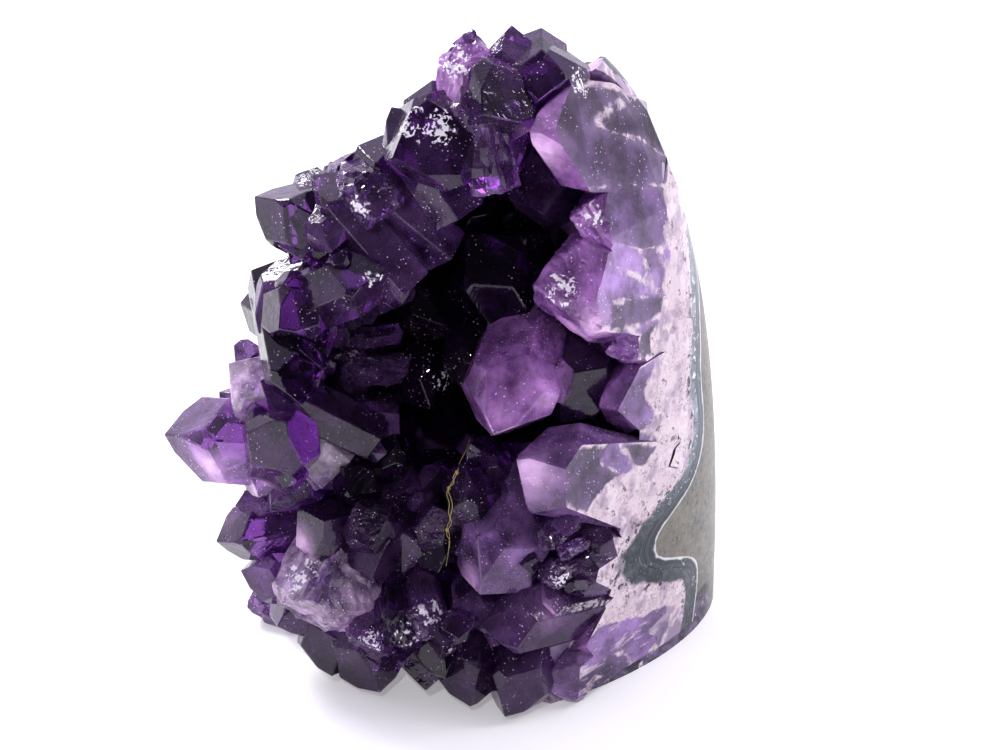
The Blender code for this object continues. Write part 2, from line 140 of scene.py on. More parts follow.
# Every point by place: its tip (x, y, z), the way it points (heading from straight ahead, to the
# right positive, then how steeply up), width across flats, whole length, tone, and how it is broken
pointTable = (
    # crown
    ((-6, -11, 126), -120, 76, 10, 22, "mid", "scaly"),
    ((-5, -4, 133), 170, 75, 12, 26, "lilac", "scaly"),
    ((2, -3, 133), 150, 80, 9, 24, "mid"),
    ((7, -14, 122), 0, -15, 11, 16, "deep"),
    ((9, -9, 130), -25, 60, 12, 26, "deep"),
    ((-20, -8, 119), -110, 55, 11, 24, "deep"),
    ((-14, -14, 121), -60, 40, 11, 22, "mid"),
    ((18, -13, 117), -30, 20, 13, 26, "deep"),
    # brow
    ((-3, -20, 121), -10, 5, 16, 30, "deep"),
    ((-19, -22, 114), -35, 5, 18, 32, "deep"),
    ((-9, -16, 107), 5, -35, 15, 18, "deep"),
    ((5, -18, 118), -60, 15, 20, 36, "lilac"),
    ((-27, -11, 107), -60, 45, 11, 26, "mid"),
    # right wall
    ((8, -12, 99), -5, -10, 14, 28, "deep"),
    ((13, -15, 100), -62, 12, 15, 26, "lilac", "crackle"),
    ((6, -20, 88), -60, 12, 20, 34, "lilac", "ripple"),
    ((19, -13, 92), -60, 40, 12, 24, "lilac", "crackle"),
    ((20, -16, 82), -50, 10, 11, 24, "mid"),
    ((-1, -28, 61), -15, -20, 18, 34, "lilac"),
    ((12, -17, 58), -20, -35, 15, 26, "deep"),
    ((19, -18, 62), -58, 0, 14, 26, "lilac"),
    ((20, -15, 72), -50, -5, 9, 20, "lilac", "crackle"),
    ((3, -28, 56), -62, 25, 17, 36, "violet"),
    ((19, -20, 52), -60, 40, 10, 24, "mid"),
    ((11, -19, 37), -62, 35, 14, 28, "mid"),
    ((10, -24, 29), -58, 12, 11, 26, "mid"),
    ((20, -18, 40), -55, 20, 12, 26, "lilac"),
    # hollow
    ((-11, 3, 92), 0, 0, 11, 24, "night"),
    ((-6, -6, 93), -60, 60, 15, 34, "night"),
    ((-9, -1, 70), 40, -15, 13, 26, "night"),
    ((1, -3, 74), 30, -10, 10, 26, "night"),
    ((-14, -4, 54), 10, -35, 10, 26, "night"),
    ((-7, -7, 60), -10, -35, 10, 28, "night"),
    ((-17, -6, 97), 50, 10, 8, 20, "deep"),
    ((-18, -5, 87), 20, -25, 9, 24, "night"),
    ((-22, 0, 75), 15, -5, 14, 26, "night"),
    ((-28, -4, 66), 30, -5, 13, 26, "night"),
    ((-24, 0, 56), 20, 10, 13, 26, "night"),
    ((3, 0, 84), -15, 0, 13, 26, "night"),
    ((8, -6, 66), -30, 5, 12, 26, "night"),
    ((-3, 4, 52), 0, 20, 14, 24, "night"),
    ((6, -3, 50), -20, 25, 13, 26, "night"),
    ((-16, 4, 64), 0, 0, 12, 24, "night"),
    ((-2, 2, 102), 0, -20, 12, 24, "night"),
    # left ridge
    ((-46, -9, 102), -90, 30, 13, 34, "deep"),
    ((-35, -9, 106), -100, 50, 12, 28, "mid"),
    ((-23, -20, 101), 10, -12, 12, 14, "mid", "scaly"),
    ((-31, -20, 95), 15, -18, 8, 20, "mid"),
    ((-37, -17, 92), -10, -15, 10, 22, "mid"),
    ((-21, -21, 92), 60, 30, 12, 28, "deep"),
    ((-18, -14, 105), 30, -10, 10, 12, "deep"),
    ((-25, -15, 91), 15, -20, 10, 22, "deep"),
    ((-46, -15, 76), -45, -25, 14, 32, "mid"),
    ((-41, -24, 81), -15, 0, 12, 30, "deep"),
    ((-37, -27, 67), 15, -30, 11, 30, "night"),
    ((-46, -17, 67), -75, 35, 10, 26, "deep"),
    ((-53, -9, 67), -100, 45, 14, 30, "pale"),
    ((-40, -27, 63), 15, 45, 14, 30, "deep"),
    ((-66, -13, 53), -80, 10, 17, 46, "violet"),
    ((-30, -17, 56), 25, -15, 8, 24, "night"),
    ((-33, -19, 76), 30, 5, 12, 26, "night"),
    ((-45, -20, 40), -30, -20, 12, 28, "mid"),
    ((-47, -20, 43), -5, -30, 8, 26, "mid"),
    ((-53, -12, 37), -70, 0, 8, 24, "mid"),
    ((-57, -14, 30), -75, -5, 11, 28, "deep"),
    ((-52, -16, 24), -80, 10, 11, 26, "mid"),
    # lower front
    ((-6, -14, 52), -60, 55, 9, 26, "deep"),
    ((-7, -18, 50), -50, 75, 11, 30, "deep"),
    ((-13, -21, 42), 0, 65, 10, 26, "deep"),
    ((-4, -30, 27), -25, -30, 16, 32, "violet"),
    ((4, -25, 29), -10, -25, 12, 30, "mid"),
    ((2, -21, 43), 5, 30, 10, 28, "mid"),
    ((-21, -12, 53), 25, 80, 8, 26, "night"),
    ((-16, -16, 44), 40, 30, 13, 28, "deep"),
    ((-30, -20, 50), -25, 50, 9, 26, "night"),
    ((-28, -24, 44), -45, 60, 10, 28, "deep"),
    ((-34, -25, 41), 0, 45, 12, 28, "deep"),
    ((-20, -23, 38), 0, 45, 13, 28, "deep"),
    ((-25, -28, 30), -5, -15, 12, 28, "deep"),
    ((-12, -25, 29), 0, -20, 12, 28, "night"),
    ((-36, -32, 27), -10, 14, 21, 36, "frosted", "scaly"),
    ((-45, -21, 14), -35, -5, 14, 28, "mid"),
    # foot
    ((-5, -31, 22), 50, 35, 7, 20, "deep"),
    ((0, -29, 15), 20, -10, 12, 28, "violet"),
    ((-4, -30, 20), -60, 5, 13, 28, "mid"),
    ((14, -26, 12), -58, -8, 14, 26, "lilac"),
    ((17, -27, 4), -58, -5, 10, 24, "mid"),
    ((8, -29, 6), -50, 0, 12, 28, "violet"),
    ((1, -35, 2), -20, -35, 13, 30, "deep"),
    ((-6, -33, 3), -5, -35, 14, 30, "deep"),
    ((-11, -32, 9), 5, -25, 10, 28, "night"),
    ((-11, -33, 17), -5, 10, 7, 22, "deep"),
    ((-18, -32, 16), 10, -15, 10, 26, "deep", "glitter"),
    ((-14, -32, 18), 10, -15, 9, 24, "mid", "glitter"),
    ((-24, -31, 16), 10, 5, 10, 28, "mid", "glitter"),
    ((-24, -28, 3), 20, -35, 14, 30, "deep"),
    ((-34, -24, 4), 0, -35, 13, 30, "deep"),
    ((-15, -29, 4), 5, -35, 12, 30, "deep"),
)


def ease(value, start, end):
    share = min(1.0, max(0.0, (value - start) / (end - start)))
    return share * share * (3.0 - 2.0 * share)


# The block and the bowls, by the same forms as the solids
def blockFrame(height):
    up = min(1.0, max(0.0, height / block["height"]))
    share = (1.0 - up ** block["domePower"]) ** (1.0 / block["shoulderPower"])
    middleX = share * (block["flankReach"] - block["flankWidth"])
    middleY = block["topY"] * (1.0 - share) + share * block["flankY"]
    return share, middleX, middleY


def blockReaches(right, front):
    across = block["flankWidth"] if right else block["leftReach"] + block["flankReach"] - block["flankWidth"]
    along = block["frontReach"] + block["flankY"] if front else block["backReach"] - block["flankY"]
    return across, along, block["flankPower"] if right and front else block["backPower"]


def blockPoint(turn, height):
    share, middleX, middleY = blockFrame(height)
    across, along, power = blockReaches(math.cos(turn) > 0, math.sin(turn) < 0)
    reach = (abs(math.cos(turn)) ** power + abs(math.sin(turn)) ** power) ** (-1.0 / power)
    return Vector((middleX + share * across * reach * math.cos(turn),
                   middleY + share * along * reach * math.sin(turn), height))


def blockTurn(place):
    # The way round the block that a place lies, and how near to its outside: 1 is on it
    share, middleX, middleY = blockFrame(place.z)
    share = max(share, 0.02)
    x, y = place.x - middleX, place.y - middleY
    across, along, power = blockReaches(x > 0, y < 0)
    out = ((abs(x) / (across * share)) ** power + (abs(y) / (along * share)) ** power) ** (1.0 / power)
    return math.atan2(y / along, x / across), out


def rawShare(turn):
    # 0 on the polished flank, 1 where the skin is as it was broken
    return max(ease(math.sin(turn), *block["backStarts"]), ease(-math.cos(turn), *block["leftStarts"]))


def opening(height):
    # The way the bowl opens at a height, and its right
    heading = math.radians(hollow["heading"] + hollow["topTurn"] * ease(height, *hollow["turnStarts"]))
    way = Vector((math.sin(heading), -math.cos(heading)))
    return way, Vector((-way.y, way.x))


def hollowPoint(turn, height, thinner, tongue):
    offWaist = abs(height - hollow["waist"])
    sideFall = (offWaist / hollow["sideReach"]) ** hollow["sidePower"]
    sideShare = max(hollow["sideLeast"], 1.0 - sideFall) ** (1.0 / hollow["sidePower"])
    backShare = math.sqrt(max(hollow["backLeast"], 1.0 - (offWaist / hollow["backReach"]) ** 2))
    right = math.sin(turn) > 0
    reach, less = (hollow["rightReach"], thinner[0]) if right else (hollow["leftReach"], thinner[1])
    side = sideShare * reach - less
    if tongue:
        fall = hollow["tongueRise"] if height > hollow["tongueHeight"] else hollow["tongueDrop"]
        fall += hollow["tongueWidening"] * thinner[0]
        near = math.exp(-(abs(height - hollow["tongueHeight"]) / fall) ** hollow["tonguePower"])
        side -= hollow["tongueReach"] * near * ease(math.degrees(turn), *hollow["tongueTurns"])
    depth = hollow["openReach"] if math.cos(turn) < 0 else backShare * hollow["depth"] - thinner[2]
    if tongue:
        wave = noise.noise(Vector((3.0 * math.sin(turn), 3.0 * math.cos(turn), height / hollow["waveSize"])))
        side += hollow["wave"] * wave
        depth += hollow["wave"] * wave
    way, across = opening(height)
    plan = hollow["middle"] - way * depth * math.cos(turn) + across * side * math.sin(turn)
    return Vector((plan.x, plan.y, height))


def putObject(name, data):
    thing = bpy.data.objects.new(name, data)
    scene.collection.objects.link(thing)
    return thing


def makePiece(name, maker, *given, **named):
    mesh = bmesh.new()
    maker(mesh, *given, **named)
    bmesh.ops.recalc_face_normals(mesh, faces=mesh.faces)
    bmesh.ops.scale(mesh, vec=Vector((mm, mm, mm)), verts=mesh.verts)
    data = bpy.data.meshes.new(name)
    mesh.to_mesh(data)
    mesh.free()
    return putObject(name, data)


def cutFlat(mesh, place, normal):
    bmesh.ops.bisect_plane(mesh, geom=mesh.verts[:] + mesh.edges[:] + mesh.faces[:], dist=0.0005,
                           plane_co=place, plane_no=normal, clear_outer=True)
    rim = [edge for edge in mesh.edges if edge.is_boundary]
    bmesh.ops.holes_fill(mesh, edges=rim, sides=len(rim))


def floorEdge():
    right, left = block["floorEdge"]
    along = left - right
    normal = Vector((along.y, -along.x, 0.0)).normalized()
    if normal.y > 0:
        normal.negate()
    return Vector((right.x, right.y, 0.0)), normal


def makeBlock(mesh, raw=True):
    bmesh.ops.create_uvsphere(mesh, u_segments=block["sides"], v_segments=block["rings"],
                              radius=block["height"])
    cutFlat(mesh, Vector((0, 0, 0)), Vector((0, 0, -1)))
    for vert in mesh.verts:
        turn = math.atan2(vert.co.y, vert.co.x)
        height = min(block["height"], max(0.0, vert.co.z))
        place = blockPoint(turn, height)
        out = Vector((math.cos(turn), math.sin(turn), 0.0))
        if raw:
            bump = block["roughness"] * noise.fractal(place / block["grain"], 0.8, 2.2, 3)
            pits = noise.voronoi(place / block["pitSize"])[0]
            bump -= block["pitDepth"] * max(0.0, block["pitReach"] - pits[0]) * 2.0
            grit = block["gritDepth"] * noise.fractal(place / block["gritSize"], 0.6, 2.1, 2)
            bump += grit - block["sunk"]
            place += out * bump * rawShare(turn)
        vert.co = place


def drawUp(mesh, ring, edges):
    place = {vert: index for index, vert in enumerate(ring)}
    drawn = bmesh.ops.extrude_edge_only(mesh, edges=edges)["geom"]
    newEdges = [item for item in drawn if isinstance(item, bmesh.types.BMEdge)
                and not any(vert in place for vert in item.verts)]
    newRing = [None] * len(ring)
    for vert in (item for item in drawn if isinstance(item, bmesh.types.BMVert)):
        partner = next(edge.other_vert(vert) for edge in vert.link_edges if edge.other_vert(vert) in place)
        newRing[place[partner]] = vert
    return newRing, newEdges


def makeHollow(mesh, thinner, floor=None, tongue=True):
    ring = bmesh.ops.create_circle(mesh, cap_ends=True, segments=hollow["sides"], radius=1.0)["verts"]
    turns = [math.atan2(vert.co.y, vert.co.x) for vert in ring]
    edges = mesh.edges[:]
    height = hollow["low"]
    while True:
        for vert, turn in zip(ring, turns):
            vert.co = hollowPoint(turn, height, thinner, tongue)
        if height >= hollow["high"]:
            break
        height += hollow["step"]
        ring, edges = drawUp(mesh, ring, edges)
    bmesh.ops.contextual_create(mesh, geom=edges)
    if floor is not None:
        cutFlat(mesh, Vector((0.0, 0.0, floor)), Vector((0.0, 0.0, -1.0)))


def makeCrest(mesh):
    # All that is broken away above the crest, with a rough underside
    bmesh.ops.create_grid(mesh, x_segments=110, y_segments=110, size=80.0)
    underside = mesh.verts[:]
    turn = block["crestFall"].normalized().to_track_quat("Z", "Y").to_matrix().to_4x4()
    bmesh.ops.transform(mesh, matrix=Matrix.Translation(block["crest"]) @ turn, verts=mesh.verts)
    for vert in underside:
        chip = noise.fractal(vert.co / 7.0, 0.7, 2.1, 4)
        vert.co.z += block["crestRough"] * chip
    raised = bmesh.ops.extrude_face_region(mesh, geom=mesh.faces[:])["geom"]
    top = [item for item in raised if isinstance(item, bmesh.types.BMVert)]
    bmesh.ops.translate(mesh, vec=Vector((0.0, 0.0, 60.0)), verts=top)


def blockNormal(turn, height, step=0.01):
    along = blockPoint(turn + step, height) - blockPoint(turn - step, height)
    upward = blockPoint(turn, height + step) - blockPoint(turn, height - step)
    return along.cross(upward).normalized()


def makeOpenSide(mesh):
    bmesh.ops.create_cube(mesh, size=300.0)
    bmesh.ops.translate(mesh, vec=Vector((0.0, 0.0, 150.0)), verts=mesh.verts)
    for height in block["polishHeights"]:
        for turn in block["polishTurns"]:
            # The points at the top keep their end faces further round
            if height > block["topPolish"][0] and turn < block["topPolish"][1]:
                continue
            turn = math.radians(turn)
            cutFlat(mesh, blockPoint(turn, height), blockNormal(turn, height))


def makeHalf(mesh, ahead, side):
    # All on one side of the floor's front edge, which is moved forward by some millimetres
    bmesh.ops.create_cube(mesh, size=300.0)
    place, normal = floorEdge()
    cutFlat(mesh, place + normal * ahead, normal * side)


def pointing(heading, pitch):
    heading, pitch = math.radians(heading), math.radians(pitch)
    level = math.cos(pitch)
    return Vector((math.sin(heading) * level, -math.cos(heading) * level, math.sin(pitch)))


def splitLong(mesh, longest, rounds):
    bmesh.ops.triangulate(mesh, faces=mesh.faces)
    for _ in range(rounds):
        long = [edge for edge in mesh.edges if edge.calc_length() > longest]
        if long:
            bmesh.ops.subdivide_edges(mesh, edges=long, cuts=1, use_grid_fill=True)
            bmesh.ops.triangulate(mesh, faces=mesh.faces)
    mesh.normal_update()


def breakFaces(mesh, size, tilt, step):
    # Breaks every face into small tilted scales, with a step between one and the next
    splitLong(mesh, 0.62 * size, 3)
    moves = []
    for vert in mesh.verts:
        near = noise.voronoi(vert.co / size)[1][0]
        lean = noise.cell_vector(near * 37.0) - Vector((0.5, 0.5, 0.5))
        lift = (vert.co - near * size).dot(lean) * tilt * 2.0 + (noise.cell(near * 53.0) - 0.7) * step
        moves.append(vert.normal * min(lift, 0.15))
    for vert, move in zip(mesh.verts, moves):
        vert.co += move


def rippleFaces(mesh, focus):
    # Shell-like ripples that spread from one chipped spot, as where quartz has burst
    splitLong(mesh, 0.8, 5)
    for vert, normal in [(vert, vert.normal.copy()) for vert in mesh.verts]:
        away = (vert.co - focus).length + 1.2 * noise.noise(vert.co / 3.0)
        strength = 0.32 * ease(away, 0.5, 4.0) * (1.0 - ease(away, 12.0, 17.0))
        rough = 0.25 * noise.fractal(vert.co / 2.2, 0.7, 2.0, 3)
        vert.co += normal * (strength * (abs(math.sin(away * 2.1)) - 0.8) + rough)


def makePoint(tip, heading, pitch, width, length, tone, broken, dice, seat=0.0):
    # A quartz point in its place, with its tone kept on its corners
    crystal = bmesh.new()
    width -= 2.0 * seat
    corner = 0.5 * width / math.cos(math.pi / 6.0)
    root = bmesh.ops.create_cone(crystal, cap_ends=True, segments=6, radius1=corner * points["taper"],
                                 radius2=corner, depth=length)["verts"]
    bmesh.ops.translate(crystal, vec=Vector((0.0, 0.0, -0.5 * length)), verts=root)
    for face in range(6):
        turn = (face + 0.5) * math.pi / 3.0
        lift = width * dice.uniform(*(points["smallLift"] if face % 2 else points["largeLift"])) - seat
        lean = math.sin(points["slope"])
        cutFlat(crystal, Vector((0.0, 0.0, lift)),
                Vector((math.cos(turn) * lean, math.sin(turn) * lean, math.cos(points["slope"]))))
    highest = max(vert.co.z for vert in crystal.verts)
    roll = Matrix.Rotation(dice.uniform(0.0, math.tau), 4, "Z")
    if seat == 0.0:
        if broken in points["breaks"]:
            breakFaces(crystal, *points["breaks"][broken])
        elif broken == "ripple":
            bmesh.ops.bevel(crystal, geom=crystal.edges[:], offset=0.4, segments=1, affect="EDGES",
                            profile=0.5, material=-1)
            rippleFaces(crystal, Vector((0.0, 0.0, highest)))
        else:
            bmesh.ops.bevel(crystal, geom=crystal.edges[:], offset=points["edge"] * width, segments=1,
                            affect="EDGES", profile=0.5, material=-1, clamp_overlap=True)
    stand = pointing(heading, pitch).to_track_quat("Z", "Y").to_matrix().to_4x4()
    place = Matrix.Translation(Vector(tip)) @ stand @ roll @ Matrix.Translation(Vector((0, 0, -highest)))
    bmesh.ops.transform(crystal, matrix=Matrix.Scale(mm, 4) @ place, verts=crystal.verts)
    bmesh.ops.recalc_face_normals(crystal, faces=crystal.faces)
    data = bpy.data.meshes.new("point")
    crystal.to_mesh(data)
    crystal.free()
    colour, milk = points["tones"][tone]
    vary = 1.0 + 0.18 * (dice.random() - 0.5)
    rootward = (place.to_3x3() @ Vector((0, 0, 1))).normalized()
    tint = data.attributes.new("tint", "FLOAT_COLOR", "CORNER")
    for item in tint.data:
        item.color = (colour[0] * vary, colour[1] * vary, colour[2] * vary, milk)
    along = data.attributes.new("along", "FLOAT", "POINT")
    for item, vert in zip(along.data, data.vertices):
        item.value = (Vector(tip) - vert.co / mm).dot(rootward) / length
    return bpy.data.objects.new("point", data)


def gather(name, made):
    group = bpy.data.collections.new(name)
    for item in made:
        group.objects.link(item)
    scene.collection.children.link(group)
    return group


def combine(piece, steps):
    # Joins, cuts or keeps one after another, and leaves a plain mesh
    for operation, other in steps:
        step = piece.modifiers.new(operation, "BOOLEAN")
        step.operation = operation
        step.solver = "MANIFOLD"
        if isinstance(other, bpy.types.Collection):
            step.operand_type = "COLLECTION"
            step.collection = other
        else:
            step.object = other
    view = bpy.context.evaluated_depsgraph_get()
    data = bpy.data.meshes.new_from_object(piece.evaluated_get(view))
    piece.modifiers.clear()
    piece.data = data
    piece.data.name = piece.name
    return piece


def throwAway(*things):
    for thing in things:
        if isinstance(thing, bpy.types.Collection):
            throwAway(*thing.objects)
            bpy.data.collections.remove(thing)
        else:
            bpy.data.objects.remove(thing, do_unlink=True)


def mainEntries():
    return [entry if len(entry) == 7 else (*entry, "") for entry in pointTable]


def mainPoints(seat):
    # The same throws as the solids: six lifts and one turn for each point
    dice = random.Random(points["seed"])
    made = []
    for entry in mainEntries():
        state = dice.getstate()
        made.append(makePoint(*entry, dice=dice, seat=seat))
        dice.setstate(state)
        for _ in range(7):
            dice.random()
    return made


def entryAlong(tip, way, width, length, tone, broken):
    way = way.normalized()
    heading = math.degrees(math.atan2(way.x, -way.y))
    return (tuple(tip), heading, math.degrees(math.asin(way.z)), width, length, tone, broken)


def liningEntries(dice):
    # Small dark points all over the wall of the hollow, most in the darkest tone, which is painted shade
    made = []
    aside, ahead, level = lesser["liningAim"]
    for _ in range(lesser["lining"]):
        turn = math.radians(dice.uniform(*lesser["liningTurns"]))
        height = dice.uniform(*lesser["liningHeights"])
        width = dice.uniform(*lesser["liningWidth"])
        wall = hollowPoint(turn, height, bedDepths, False)
        if height > lesser["liningLeftTop"] and wall.x < lesser["liningLeft"]:
            continue
        if height > lesser["liningRightTop"] and wall.x > lesser["liningRight"]:
            continue
        inward = Vector((hollow["middle"].x - wall.x - aside, hollow["middle"].y - wall.y - ahead,
                         0.35 * (level - height)))
        jitter = Vector([dice.uniform(-1, 1) for _ in range(3)])
        way = inward.normalized() + lesser["liningJitter"] * jitter
        tip = wall + way.normalized() * dice.uniform(*lesser["liningOut"])
        tone = "night" if dice.random() < lesser["paintedShadeShare"] else "deep"
        made.append(entryAlong(tip, way, width, width * 2.2, tone, ""))
    return made


def daughterEntries(dice):
    # Lesser points that lean out of the sides of the large ones
    made = []
    for tip, heading, pitch, width, length, tone, broken in mainEntries():
        if width < lesser["motherLeast"] or tip[2] > lesser["daughterTop"] or tone == "pale":
            continue
        axis = pointing(heading, pitch)
        side = axis.orthogonal().normalized()
        for _ in range(lesser["daughters"]):
            out = Matrix.Rotation(dice.uniform(0.0, math.tau), 3, axis) @ side
            size = width * dice.uniform(*lesser["daughterShare"])
            start = Vector(tip) - axis * length * dice.uniform(*lesser["daughterPlace"]) + out * width * 0.42
            way = axis * 0.85 + out * dice.uniform(*lesser["daughterOut"])
            made.append(entryAlong(start + way.normalized() * size * 0.9, way, size, size * 2.4, tone,
                                   "scaly" if dice.random() < lesser["scalyShare"] else ""))
    return made


def fringeEntries(dice):
    # Small points between the large ones along the foot and the left edge
    made = []
    right, left = block["floorEdge"]
    for _ in range(lesser["fringe"]):
        height = dice.uniform(*lesser["fringeHeights"])
        plan = right.lerp(left, dice.random())
        if height > lesser["footTop"]:
            plan = left.lerp(right, 0.25 * dice.random())
        width = dice.uniform(*lesser["fringeWidth"])
        lean = ease(height, *lesser["fringeLean"])
        tip = Vector((plan.x * (1.0 - 0.35 * lean), plan.y - dice.uniform(*lesser["fringeAhead"]), height))
        way = Vector((-0.5 + dice.uniform(-0.7, 0.7), -0.9, dice.uniform(-0.5, 0.7)))
        made.append(entryAlong(tip, way, width, width * 3.0, dice.choice(("deep", "mid", "mid")),
                               "glitter" if dice.random() < lesser["glitterShare"] else ""))
    for _ in range(lesser["leftFringe"]):
        plan = right.lerp(left, dice.uniform(*lesser["leftFringePlace"]))
        width = dice.uniform(*lesser["leftFringeWidth"])
        tip = Vector((plan.x - dice.uniform(0.0, 2.0), plan.y - dice.uniform(*lesser["leftFringeAhead"]),
                      dice.uniform(*lesser["leftFringeHeights"])))
        way = Vector((-0.75 + dice.uniform(-0.4, 0.4), -0.8, dice.uniform(-0.4, 0.5)))
        made.append(entryAlong(tip, way, width, width * 2.2, dice.choice(("deep", "mid")), ""))
    return made


def lesserPoints():
    dice = random.Random(lesser["seed"])
    entries = liningEntries(dice) + daughterEntries(dice) + fringeEntries(dice)
    return [makePoint(*entry, dice=dice) for entry in entries]


def plainFaces(mesh, tint):
    return [face for face in mesh.faces if all(sum(loop[tint][:3]) < 0.05 for loop in face.loops)]


def fineCuts(piece):
    # Cuts the polished faces small, so that they can hold the tones of the points that they cross
    mesh = bmesh.new()
    mesh.from_mesh(piece.data)
    tint = mesh.loops.layers.float_color["tint"]
    bmesh.ops.triangulate(mesh, faces=plainFaces(mesh, tint))
    for _ in range(6):
        edges = {edge for face in plainFaces(mesh, tint) for edge in face.edges}
        long = [edge for edge in edges if edge.calc_length() > points["cutStep"] * mm]
        if not long:
            break
        bmesh.ops.subdivide_edges(mesh, edges=long, cuts=1, use_grid_fill=True)
        bmesh.ops.triangulate(mesh, faces=[face for face in plainFaces(mesh, tint) if len(face.verts) > 3])
    mesh.to_mesh(piece.data)
    mesh.free()


def tintCuts(piece, rockBowl):
    # Gives the polished cuts the tone of the point they run through, and marks how near its rim they are
    entries = [(Vector(tip), pointing(heading, pitch), width, length, tone)
               for tip, heading, pitch, width, length, tone, broken in mainEntries()]
    data = piece.data
    for name in ("rim", "into"):
        data.attributes.new(name, "FLOAT", "CORNER")
    tint, rims, into = (data.attributes[name].data for name in ("tint", "rim", "into"))
    corners = [loop.vertex_index for loop in data.loops]
    known = {}
    for index, vertex in enumerate(corners):
        into[index].value = 60.0
        if sum(tint[index].color[:3]) > 0.05:
            continue
        if vertex not in known:
            place = data.vertices[vertex].co / mm
            near = [(2.0, "lilac", Vector((0, 0, 0))), (2.0, "lilac", Vector((0, 0, 0)))]
            for tip, axis, width, length, tone in entries:
                back = (tip - place).dot(axis)
                if -2.0 < back < length + 2.0:
                    off = ((place - tip) + axis * back).length / (0.5 * width)
                    near.append((off, tone, tip))
            near.sort(key=lambda item: item[0])
            border = max(near[0][0], 1.0 - 1.3 * (near[1][0] - near[0][0]))
            colour = points["cutTones"][near[0][1]]
            vary = points["cutVary"][0] + points["cutVary"][1] * noise.cell(near[0][2] * 1.37)
            vary *= 1.0 - points["dusk"] * ease(place.z, *points["duskHeights"])
            depth = rockBowl.find_nearest(place * mm)[3] / mm
            if rawShare(blockTurn(place)[0]) > 0.5:
                border, depth = 0.5, 60.0
            body = (*(share * vary for share in colour), points["cutMilk"])
            known[vertex] = (min(1.5, border), body, depth)
        rims[index].value, tint[index].color, into[index].value = known[vertex]


def markSkin(piece, rockBowl):
    # polish: 1 on the polished flank. into: how far inside the bowl, in millimetres
    data = piece.data
    for name in ("polish", "into"):
        data.attributes.new(name, "FLOAT", "POINT")
    polish, into = data.attributes["polish"].data, data.attributes["into"].data
    for index, vert in enumerate(data.vertices):
        place = vert.co / mm
        turn, out = blockTurn(place)
        polish[index].value = ease(out, 0.975, 0.992) * (1.0 - rawShare(turn))
        into[index].value = rockBowl.find_nearest(vert.co)[3] / mm


seam = hollow["seam"]
rind = hollow["rind"]
bedDepths = tuple(rind + hollow[part] for part in ("bedRight", "bedLeft", "bedBack"))
crest = makePiece("crest", makeCrest)
shellBlock = makePiece("basalt_rock", makeBlock)
ahead = makePiece("ahead", makeHalf, 0.0, -1.0)
rockHollow = makePiece("rockHollow", makeHollow, (0.0,) * 3, block["floor"])
bowl = makePiece("bowl", makeHollow, (0.0,) * 3)
rockBowl = BVHTree.FromObject(bowl, bpy.context.evaluated_depsgraph_get())
rock = combine(shellBlock, (("DIFFERENCE", ahead), ("DIFFERENCE", crest), ("DIFFERENCE", rockHollow)))
print("rock")

agate = makePiece("agate_band", makeHollow, (seam,) * 3, block["floor"] + seam)
agateBlock = makePiece("agateBlock", makeBlock)
rindHollow = makePiece("rindHollow", makeHollow, (rind,) * 3)
combine(agate, (("INTERSECT", agateBlock), ("DIFFERENCE", ahead), ("DIFFERENCE", crest),
                ("DIFFERENCE", rindHollow)))
print("agate")

bed = makePiece("quartz_bed", makeBlock)
bedCut = makePiece("bedCut", makeHalf, hollow["bedOverhang"], -1.0)
crustBowl = makePiece("crustBowl", makeHollow, (rind + seam,) * 3, block["floor"] + seam)
wall = makePiece("wall", makeHalf, hollow["wallAhead"], 1.0)
combine(wall, (("DIFFERENCE", crustBowl),))
openRoom = makePiece("openRoom", makeHollow, bedDepths, block["floor"] + hollow["bedFloor"], tongue=False)
seats = gather("seats", mainPoints(points["seat"]))
combine(bed, (("DIFFERENCE", bedCut), ("DIFFERENCE", crest), ("DIFFERENCE", wall), ("DIFFERENCE", openRoom),
              ("DIFFERENCE", seats)))
print("quartz bed")

made = mainPoints(0.0) + lesserPoints()
amethyst = made[0]
amethyst.name = "amethyst_points"
scene.collection.objects.link(amethyst)
others = gather("others", made[1:])
room = combine(makePiece("room", makeBlock, raw=False), (("UNION", makePiece("openSide", makeOpenSide)),))
combine(amethyst, (("UNION", others), ("INTERSECT", room), ("DIFFERENCE", wall)))
fineCuts(amethyst)
tintCuts(amethyst, rockBowl)
print("amethyst points")
for piece in (rock, agate, bed):
    markSkin(piece, rockBowl)
throwAway(crest, ahead, rockHollow, bowl, agateBlock, rindHollow, bedCut, crustBowl, wall, openRoom,
          seats, others, room, bpy.data.objects["openSide"])
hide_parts("host_rock")
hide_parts("agate_rind")
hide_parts("amethyst_crust")
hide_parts("amethyst_crust")
for piece, slot in ((rock, "host_rock"), (agate, "agate_rind"), (bed, "amethyst_crust"),
                    (amethyst, "amethyst_crust")):
    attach(piece, "root")


# The node tree that the helpers below add to, and its shader
tree = shader = None


def newLook(name, settings):
    global tree, shader
    look = bpy.data.materials.new(name)
    look.use_nodes = True
    tree = look.node_tree
    shader = tree.nodes["Principled BSDF"]
    for socket, value in settings.items():
        shader.inputs[socket].default_value = value
    return look


def feed(socket, value):
    tree.links.new(value, shader.inputs[socket])


def addNode(kind, settings=None, inputs=None):
    made = tree.nodes.new("ShaderNode" + kind)
    for name, value in (settings or {}).items():
        setattr(made, name, value)
    for name, value in (inputs or {}).items():
        if isinstance(value, bpy.types.NodeSocket):
            tree.links.new(value, made.inputs[name])
        else:
            made.inputs[name].default_value = value
    return made


def here():
    return addNode("TexCoord").outputs["Object"]


def attribute(name, output="Fac"):
    return addNode("Attribute", {"attribute_name": name}).outputs[output]


